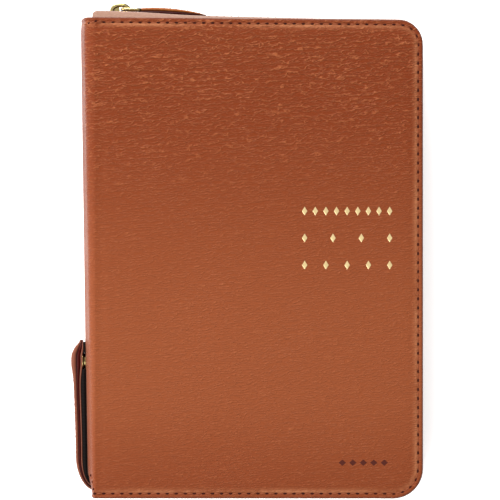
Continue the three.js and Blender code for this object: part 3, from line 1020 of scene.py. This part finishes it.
def strap_line(first_y, last_y):
    """(point, normal away from the spine, half thickness) from inside the tail corner upwards."""
    line = strap_bend(first_y) if first_y < BEND_CENTRE.y else []
    heights = spaced(max(first_y, BEND_CENTRE.y), last_y, 46)
    for y in heights[1:] if line else heights:
        slope = (strap_centre(y + 0.2) - strap_centre(y - 0.2)) / 0.4
        line.append((Vector((strap_centre(y), y)), Vector((-1, slope)).normalized(), strap_half(y)))
    return line


def strap_width(y):
    """Half the strap's width, drawn in round its tip."""
    tip = max(y - STRAP_TOP + 6, 0) / 6.3
    return STRAP_HALF_WIDTH * math.sqrt(max(1 - tip**2.4, 0.02))


def blend_strap(piece, slot, *nodes):
    """Finishes one layer of the strap, a single piece from inside the tail corner up to its tip."""
    start = (STRAP_PIVOT[0] + 3.6, STRAP_PIVOT[1] - 3.4, MIDDLE)
    end = (STRAP_PIVOT[0] - 2.6, STRAP_PIVOT[1] + 7.0, MIDDLE)
    finish_blend(piece, "tail_strap", start, end, slot, *nodes)


def strap_layer(name, first, last, material, slot, node, inset=0.0):
    """One layer of the strap, between two shares of its thickness counted from its inner side."""
    rings = []
    for point, normal, half in strap_line(-TOP, STRAP_TOP):
        low_side, high_side = lerp(-half, half, first), lerp(-half, half, last)
        middle = (low_side + high_side) / 2
        width = strap_width(point.y) - inset
        outside, inside = [], []
        for w in spaced(-1, 1, 10):
            rim = 1 - 0.3 * smooth((abs(w) - 0.8) / 0.2)
            z = MIDDLE + w * max(width, 0.3)
            outside.append(Vector((*(point + normal * lerp(middle, high_side, rim)), z)))
            inside.append(Vector((*(point + normal * lerp(middle, low_side, rim)), z)))
        rings.append(outside + inside[::-1])
    blend_strap(strip_piece(name, rings, material), slot, node)


def strap_tape(name, first_y, last_y, material, *nodes):
    """The zip's own tape end, doubled up between the strap's inner leather and the spine; near black, it is
    painted shade filling the gap there.
    """
    rings = []
    clearance = 0.12
    for point, normal, half in strap_line(first_y, last_y):
        inner = point - normal * (half + 0.03)
        if inner.y < first_y:
            continue
        outer, back = [], []
        for w in spaced(-1, 1, 8):
            z = MIDDLE + w * (strap_width(point.y) - 0.2)
            room = spine_surface(inner.y, z) - clearance - inner.x
            outer.append(Vector((*inner, z)))
            back.append(Vector((inner.x + max(room, 0.25), inner.y, z)))
        rings.append(outer + back[::-1])
    blend_strap(strip_piece(name, rings, material), "zip_tape", *nodes)


def make_strap(materials):
    """The strap's face, dark filling and backing, the zip's near-black tape behind it as painted shade, and
    two rows of stitches.
    """
    strap_layer("strap_face", 0.57, 1.0, materials["strap"], "cover_leather", "strap_outer_leather")
    strap_layer("strap_filling", 0.19, 0.56, materials["core"], "zip_tape", "strap_zip_end", 0.3)
    strap_layer("strap_backing", 0.0, 0.18, materials["strap"], "cover_leather", "strap_inner_leather")
    # The tape's two lengths end just under the snap's rim.
    foot, under_snap = -106.0, SNAP_RADIUS - 1.4
    strap_tape("strap_tape", foot, SNAP.y - under_snap, materials["tape_end"], "zip_tape_end")
    strap_tape("strap_tape_tip", SNAP.y + under_snap, STRAP_TOP - 0.9, materials["tape_end"])
    run = strap_line(BEND_CENTRE.y, SNAP.y - 7)
    for name, side in (("strap_stitches_low", -1), ("strap_stitches_high", 1)):
        z = MIDDLE + side * (STRAP_HALF_WIDTH - 1.6)
        path = [(*(point + normal * (half - 0.1)), z) for point, normal, half in run]
        stitch_row(name, path, materials, "tail_strap", 3.6, 0.5)


# ---------------------------------------------------------------- metal and small pieces


def softened(name, node, material, width):
    """A copy of a CAD node with its edges rounded over."""
    mesh = frame["nodes"][node].data.copy()
    mesh.name = name
    mesh.materials.clear()
    mesh.materials.append(material)
    shell = bmesh.new()
    shell.from_mesh(mesh)
    bmesh.ops.remove_doubles(shell, verts=shell.verts, dist=1e-6)
    flat = math.radians(1)
    bmesh.ops.dissolve_limit(shell, angle_limit=flat, verts=shell.verts, edges=shell.edges)
    for face in shell.faces:
        face.smooth = True
        face.material_index = 0
    shell.to_mesh(mesh)
    shell.free()
    piece = place_in_scene(name, mesh)
    rounding = piece.modifiers.new("rounding", "BEVEL")
    rounding.width = width * MM
    rounding.segments = 3
    rounding.limit_method = "ANGLE"
    rounding.angle_limit = math.radians(30)
    rounding.harden_normals = True
    graph = bpy.context.evaluated_depsgraph_get()
    rounded = bpy.data.meshes.new_from_object(piece.evaluated_get(graph), depsgraph=graph)
    piece.modifiers.clear()
    piece.data = rounded
    return piece


PIN = Vector(joints["pull_swing"]["pos_m"]) / MM
ALONG = Vector(ZIP_AXIS)
OUTWARD = Vector((-ALONG.y, ALONG.x, 0))
CROWN_HALF = 4.2
CROWN_RISE = 3.1
CROWN_FOOT = -1.1
PULL_START = 7.2
PULL_END = 39.0


def from_pin(along, outward, z=0.0):
    """A point near the slider: along the zip, outward from the head edge, and across the zip."""
    return PIN + ALONG * along + OUTWARD * outward + Vector((0, 0, z))


def swept(name, frames, half_wide, half_thick, material, closed=False):
    """A bar with a soft-cornered section swept through frames of (point, normal, side)."""
    steps = 12
    rings = []
    for point, normal, side in frames:
        ring = []
        for step in range(steps):
            angle = 2 * math.pi * (step + 0.5) / steps
            c, s = math.cos(angle), math.sin(angle)
            u = math.copysign(abs(c) ** 0.6, c) * half_wide
            v = math.copysign(abs(s) ** 0.6, s) * half_thick
            ring.append(point + side * u + normal * v)
        rings.append(ring)
    faces = strip_faces(rings)
    if closed:
        # In place of the end caps, the last ring joins the first.
        last = (len(rings) - 1) * steps
        faces = faces[:last]
        faces += [(last + j, last + (j + 1) % steps, (j + 1) % steps, j) for j in range(steps)]
    return make_piece(name, [p for ring in rings for p in ring], faces, material)


def make_crown(material):
    """The slider's arch, a flat gold band that the pull's link hangs in."""
    frames = []
    for angle in spaced(math.radians(-8), math.radians(188), 28):
        c, s = math.cos(angle), math.sin(angle)
        point = from_pin(-1.0 + CROWN_HALF * math.copysign(abs(c) ** 0.85, c), CROWN_FOOT + CROWN_RISE * s)
        normal = (ALONG * (c / CROWN_HALF) + OUTWARD * (s / CROWN_RISE)).normalized()
        frames.append((point, normal, Vector((0, 0, 1))))
    finish(swept("slider_arch", frames, 1.5, 1.0, material), "zip_slider", "gold_metal", "slider_crown")


def make_crown_web(material):
    """The flat web that closes the arch on the side away from the pull."""
    rim = [(math.cos(angle), math.sin(angle)) for angle in spaced(math.radians(100), math.radians(188), 12)]
    points = []
    for level in (0.1, -0.9):
        points += [from_pin(-1.25 + 3.9 * c, CROWN_FOOT + CROWN_RISE * s, level) for c, s in rim]
        points.append(from_pin(-1.3, CROWN_FOOT - 0.4, level))
    n = len(rim) + 1
    faces = [tuple(range(n)), tuple(range(2 * n - 1, n - 1, -1))]
    faces += [(j, (j + 1) % n, n + (j + 1) % n, n + j) for j in range(n)]
    web = make_piece("arch_web", points, faces, material)
    web.data.shade_flat()
    finish(web, "zip_slider", "gold_metal")


def make_link(material):
    """The oblong ring between the crown and the leather pull."""
    half_long, half_wide, corner, centre = 4.3, 3.3, 1.6, 4.0
    quarter_turn = math.pi / 2
    frames = []
    for quarter, (x_sign, z_sign) in enumerate(((1, 1), (-1, 1), (-1, -1), (1, -1))):
        for angle in spaced(quarter * quarter_turn, (quarter + 1) * quarter_turn, 6):
            outward = ALONG * math.cos(angle) + Vector((0, 0, math.sin(angle)))
            middle = from_pin(centre + x_sign * (half_long - corner), 0, z_sign * (half_wide - corner))
            frames.append((middle + outward * corner, OUTWARD, outward))
    link = swept("pull_link", frames, 0.6, 0.72, material, closed=True)
    finish(link, "zip_pull", "gold_metal", "pull_ring")


def pull_top(share):
    """The arched face of the pull, outward from the pin."""
    return -1.85 + 2.95 * math.sin(math.pi * (0.28 + 0.72 * share)) ** 0.75


def pull_layer(name, first, last, material):
    """One of the pull's two layers, between two shares of its thickness."""
    half_wide = 2.8
    rings = []
    for step in spaced(0, 1, 48):
        share = step**1.2
        x = lerp(PULL_START, PULL_END, share)
        floor = -1.65 - 0.3 * share
        top = max(pull_top(min(share, 0.999)), floor + 0.55)
        round_end = math.sqrt(max(1 - max(1 - (x - PULL_START) / 1.5, 0) ** 2, 0.03))
        middle = (top + floor) / 2
        high_side = lerp(middle, lerp(floor, top, last), round_end)
        low_side = lerp(middle, lerp(floor, top, first), round_end)
        width = half_wide * math.sqrt(max(1 - max((x - PULL_END + 2.6) / 2.7, 0) ** 2, 0.02))
        outer, inner = [], []
        for w in spaced(-1, 1, 8):
            rim = 1 - 0.4 * smooth((abs(w) - 0.75) / 0.25)
            centre = (high_side + low_side) / 2
            outer.append(from_pin(x, lerp(centre, high_side, rim), w * width))
            inner.append(from_pin(x, lerp(centre, low_side, rim), w * width))
        rings.append(outer + inner[::-1])
    return strip_piece(name, rings, material)


def make_slider(materials):
    """The slider with its crown, link and leather pull."""
    gold = materials["gold"]
    finish(softened("slider_shell", "slider_body", gold, 0.3), "zip_slider", "gold_metal", "slider_body")
    make_crown(gold)
    make_crown_web(gold)
    make_link(gold)
    finish(pull_layer("pull_face", 0.48, 1.0, materials["pull"]), "zip_pull", "cover_leather", "pull_leather")
    # The pull's lower half takes the dark colour as painted shade on its underside.
    finish(pull_layer("pull_backing", 0.0, 0.48, materials["core"]), "zip_pull", "cover_leather")
    for name, z in (("pull_stitches_low", -1.9), ("pull_stitches_high", 1.9)):
        shares = spaced(0.08, 0.86, 24)
        path = [from_pin(lerp(PULL_START, PULL_END, share), pull_top(share) - 0.06, z) for share in shares]
        stitch_row(name, path, materials, "zip_pull", 2.6, 0.5)


def turned(profile, x):
    """Points and faces of a round shape on the snap's axis: profile is (radius, distance out from x)."""
    steps = 40
    n = len(profile)
    points, faces = [], []
    for step in range(steps):
        angle = 2 * math.pi * step / steps
        y, z = math.cos(angle), math.sin(angle)
        points += [Vector((x - out, SNAP.y + radius * y, MIDDLE + radius * z)) for radius, out in profile]
        for j in range(n):
            k = (j + 1) % n
            following = (step + 1) % steps
            faces.append((step * n + j, step * n + k, following * n + k, following * n + j))
    return points, faces


def rounded_profile(corners, radius=0.25):
    """A closed profile with each corner that is off the axis rounded by a short curve."""
    out = []
    count = len(corners)
    for index, corner in enumerate(corners):
        here = Vector(corner)
        if corner[0] == 0:
            out.append(corner)
            continue
        before, after = Vector(corners[index - 1]), Vector(corners[(index + 1) % count])
        first = here + (before - here).normalized() * min(radius, (before - here).length * 0.45)
        last = here + (after - here).normalized() * min(radius, (after - here).length * 0.45)
        for t in spaced(0, 1, 3):
            out.append(tuple(first.lerp(here, t).lerp(here.lerp(last, t), t)))
    return out


def make_snap(materials):
    """The snap: a leather cap and a gold ring on the strap, and a gold post on the spine."""
    gold = materials["gold"]
    cap = [(0, 0), (4.0, 0), (4.2, 0.2), (3.4, 0.45), (2.0, 0.6), (0, 0.65)]
    dome = turned(rounded_profile(cap, 0.2), STRAP_LEFT + 0.42)
    finish(make_piece("snap_dome", *dome, materials["strap"]), "tail_strap", "cover_leather", "snap_cap")
    socket = [(2.3, 0), (4.4, 0), (5.0, 0.3), (5.0, 0.9), (2.3, 0.9)]
    ring = turned(rounded_profile(socket), STRAP_RIGHT + 0.55)
    finish(make_piece("snap_ring", *ring, gold), "tail_strap", "gold_metal", "snap_socket")
    stud = [(0, 0), (4.1, 0), (4.2, 0.7), (3.2, 1.1), (1.8, 1.2), (1.5, 1.3), (1.6, 1.7), (0, 1.75)]
    base = spine_surface(SNAP.y, MIDDLE) + 0.35
    post = turned(rounded_profile(stud, 0.15), base)
    finish(make_piece("snap_post", *post, gold), "book", "gold_metal", "snap_stud")


# ---------------------------------------------------------------- pages and their fittings


LEAVES = 7


def page_outline(right, top):
    """A leaf's outline, square at the spine and round at its two outer corners."""
    left, radius = low("gathering_01").x, 6.0
    outline = [(left, -top)]
    for sign, first in ((-1, -math.pi / 2), (1, 0)):
        centre_x, centre_y = right - radius, sign * (top - radius)
        for angle in spaced(first, first + math.pi / 2, 7):
            outline.append((centre_x + radius * math.cos(angle), centre_y + radius * math.sin(angle)))
    outline.append((left, top))
    return outline


def leaf_stack(node, body, leaves, materials):
    """Thin leaves lying on each other, their cut edges never quite in line."""
    bottom, top = low(node).z, high(node).z
    points, faces, kinds = [], [], []
    thickness = (top - bottom) / leaves
    page, gilt, uneven = 0, 1, 0.1
    for leaf in range(leaves):
        z = bottom + leaf * thickness
        hollow = 0.9 * (1 - ((z - MIDDLE) / MIDDLE) ** 2)
        right = high(node).x - hollow + random.uniform(-uneven, uneven)
        half = high(node).y - uneven + random.uniform(-uneven, uneven)
        outline = page_outline(right, half)
        n = len(outline)
        base = len(points)
        points += [(x, y, z) for x, y in outline] + [(x, y, z + thickness * 0.97) for x, y in outline]
        faces += [tuple(range(base + n - 1, base - 1, -1)), tuple(range(base + n, base + 2 * n))]
        kinds += [page, page]
        for j in range(n):
            k = (j + 1) % n
            faces.append((base + j, base + k, base + n + k, base + n + j))
            kinds.append(gilt)
    mesh = bpy.data.meshes.new(node + "_leaves")
    mesh.from_pydata([Vector(p) * MM for p in points], [], faces)
    mesh.materials.append(materials["page"])
    mesh.materials.append(materials["gilt"])
    mesh.polygons.foreach_set("material_index", kinds)
    finish(place_in_scene(node + "_leaves", mesh), body, "page_paper", node)


def make_pages(materials):
    """Twelve gatherings: the first two turn with the cover, and the others stay with the book."""
    for number in range(1, 13):
        node = f"gathering_{number:02d}"
        body = {1: "first_gathering", 2: "second_gathering"}.get(number, "book")
        leaf_stack(node, body, LEAVES, materials)


def make_ribbon(node, shift, materials):
    """A satin marker: flat between the leaves, then over their tail edge with a soft bend."""
    lower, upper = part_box(node)
    lower, upper = lower / MM, upper / MM
    inset, bend, half = 0.15, 0.8, 0.11
    level, tail, width = upper.z - inset, lower.y + inset, upper.x - lower.x
    centre = (lower.x + upper.x) / 2
    line = [Vector((0, y, level)) for y in spaced(upper.y, tail + bend, 40)]
    for angle in spaced(0, math.pi / 2, 6)[1:]:
        line.append(Vector((0, tail + bend * (1 - math.sin(angle)), level - bend * (1 - math.cos(angle)))))
    line += [Vector((0, tail, z)) for z in spaced(level - bend, lower.z, 8)[1:]]
    rings = []
    for index, point in enumerate(line):
        before, after = line[max(index - 1, 0)], line[min(index + 1, len(line) - 1)]
        along = (after - before).normalized()
        normal = Vector((0, along.z, -along.y))
        sway = shift * math.sin(index / len(line) * math.pi)
        cut = 2.5 if index == len(line) - 1 else 0
        outer, inner = [], []
        for w in spaced(-0.5, 0.5, 6):
            at = point + Vector((centre + sway + w * width, 0, cut * (w + 0.5)))
            outer.append(at + normal * half)
            inner.append(at - normal * half)
        rings.append(outer + inner[::-1])
    slot = node.replace("_marker", "")
    piece = strip_piece(node + "_satin", rings, materials[slot])
    finish(piece, "book", slot, node)


def make_band(node, materials):
    """A silk band sewn over the end of the pages' spine, ribbed by its threads."""
    lower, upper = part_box(node)
    lower, upper = lower / MM, upper / MM
    centre = (lower + upper) / 2
    radius = (upper.x - lower.x) / 2
    rings = []
    around, rib, rib_pitch = 16, 0.05, 0.75
    for z in spaced(lower.z, upper.z, 120):
        swell = radius * (1 + rib * math.cos((z - lower.z) * 2 * math.pi / rib_pitch))
        ring = []
        for step in range(around):
            angle = 2 * math.pi * step / around
            ring.append(Vector((centre.x + swell * math.cos(angle), centre.y + swell * math.sin(angle), z)))
        rings.append(ring)
    piece = strip_piece(node + "_silk", rings, materials["band"])
    finish(piece, "book", "band_silk", node)


# ---------------------------------------------------------------- marks on the front cover


def foil_rows(materials):
    """Three rows of small gold lozenges, pressed into the cover where its title would be."""
    left, right = 24.0, 63.5
    slack = 0.001
    stamp = lozenge(2.5, 4.1, 0.07)
    for number, (y, count) in enumerate(((22.1, 9), (9.6, 4), (-3.0, 5)), start=1):
        path = [(x, y, cover_height(x, y)) for x in spaced(left, right, count - 1)]
        spacing = (right - left) / (count - 1) - slack
        piece = row(f"foil_row_{number}", path, stamp, spacing, 0.0, materials["foil"])
        finish(piece, "front_cover", "gold_metal")
    bpy.data.objects.remove(stamp)


def pressed_row(materials):
    """A row of small blind-pressed lozenges near the tail corner."""
    left, right, y, spacing = 41.5, 61.0, -94.8, 4.87
    stamp = lozenge(3.4, 3.0, 0.05)
    path = [(x, y, cover_height(x, y) - 0.01) for x in spaced(left, right, 4)]
    piece = row("pressed_row", path, stamp, spacing, 0.0, materials["burnt"])
    bpy.data.objects.remove(stamp)
    finish(piece, "front_cover", "cover_leather")


def spine_board(materials):
    """The thin board behind the spine's leather, bent to the same curve."""
    rings = []
    behind, thick, margin = HIDE + 0.15, 0.6, 6.5
    for y in spaced(low("spine_stiffener").y, high("spine_stiffener").y, 24):
        outer, inner = [], []
        for z in spaced(margin, THICK - margin, 12):
            x = spine_surface(y, z) + behind
            outer.append(Vector((x, y, z)))
            inner.append(Vector((x + thick, y, z)))
        rings.append(outer + inner[::-1])
    finish(strip_piece("spine_board", rings, materials["board"]), "book", "board", "spine_stiffener")


# ---------------------------------------------------------------- what stays as the frame has it


def repaint(materials):
    """The plain sheets and the stop keep their shapes and take these finishes."""
    finishes = {
        "board": ["front_board", "back_board"],
        "lining": ["front_lining", "back_lining"],
        "endpaper": ["front_pastedown", "back_pastedown", "front_flyleaf", "back_flyleaf"],
        "mull": ["spine_mull"],
        "gold": ["zip_top_stop"],
    }
    for key, nodes in finishes.items():
        for node in nodes:
            mesh = frame["nodes"][node].data
            mesh.materials.clear()
            mesh.materials.append(materials[key])


# ---------------------------------------------------------------- stage, light and camera


def make_stage():
    """A pale floor, bright enough that nothing but the soft shadow shows on it."""
    mesh = bpy.data.meshes.new("floor")
    size, level = 12.0, -0.0003
    corners = [(-size, -size, level), (size, -size, level), (size, size, level), (-size, size, level)]
    mesh.from_pydata(corners, [], [(0, 1, 2, 3)])
    floor = place_in_scene("floor", mesh)
    material, _, shader = new_material("pale_floor")
    shader.inputs["Base Color"].default_value = (0.93, 0.93, 0.93, 1.0)
    shader.inputs["Roughness"].default_value = 0.9
    shader.inputs["Specular IOR Level"].default_value = 0.1
    shader.inputs["Emission Color"].default_value = (1.0, 1.0, 1.0, 1.0)
    shader.inputs["Emission Strength"].default_value = 0.42
    mesh.materials.append(material)


def soft_light(name, place, target, size, watts):
    data = bpy.data.lights.new(name, "AREA")
    data.shape = "RECTANGLE"
    data.size, data.size_y = size
    data.energy = watts
    light = bpy.data.objects.new(name, data)
    bpy.context.scene.collection.objects.link(light)
    light.location = place
    light.rotation_euler = (Vector(target) - Vector(place)).to_track_quat("-Z", "Y").to_euler()


def make_lights():
    """An even white studio, a little brighter as a backdrop, and three softboxes."""
    world = bpy.data.worlds.new("studio")
    world.use_nodes = True
    background = world.node_tree.nodes["Background"]
    background.inputs["Color"].default_value = (1.0, 1.0, 1.0, 1.0)
    w = Wiring(world.node_tree)
    seen = w.add("ShaderNodeLightPath").outputs["Is Camera Ray"]
    w.put(background, "Strength", w.math("ADD", w.math("MULTIPLY", seen, 0.3), 0.74))
    bpy.context.scene.world = world
    soft_light("head_softbox", (-0.25, 0.95, 0.55), (0, 0, 0), (0.7, 0.35), 19.0)
    soft_light("spine_softbox", (-0.9, -0.15, 0.45), (-0.05, 0, 0.02), (0.9, 0.5), 8.0)
    soft_light("tail_softbox", (-0.35, -0.55, 1.0), (0, -0.05, 0), (0.7, 0.6), 7.0)
    bpy.context.scene.view_settings.view_transform = "Standard"
    bpy.context.scene.view_settings.look = "None"


def make_camera():
    """Straight above the front cover, far off, as for a catalogue picture."""
    distance = 2.2
    frame_width = 0.2323
    centre_x, centre_y = -0.0014, 0.0040
    data = bpy.data.cameras.new("camera")
    data.lens = data.sensor_width * distance / frame_width
    data.clip_end = 20
    camera = bpy.data.objects.new("camera", data)
    bpy.context.scene.collection.objects.link(camera)
    camera.location = (centre_x, centre_y, THICK * MM + distance)
    bpy.context.scene.camera = camera


def main():
    make_camera()
    make_lights()
    make_stage()
    materials = make_materials()
    repaint(materials)
    make_cover_skin(materials["cover"])
    cover_stitches(materials)
    for side in ("front", "back"):
        gusset(side, materials)
        tape(side, materials)
        coil(side, materials)
    make_slider(materials)
    make_snap(materials)
    make_strap(materials)
    make_pages(materials)
    make_ribbon("ribbon_marker_red", 1.5, materials)
    make_ribbon("ribbon_marker_gold", -1.5, materials)
    make_band("head_band", materials)
    make_band("tail_band", materials)
    foil_rows(materials)
    pressed_row(materials)
    spine_board(materials)


main()
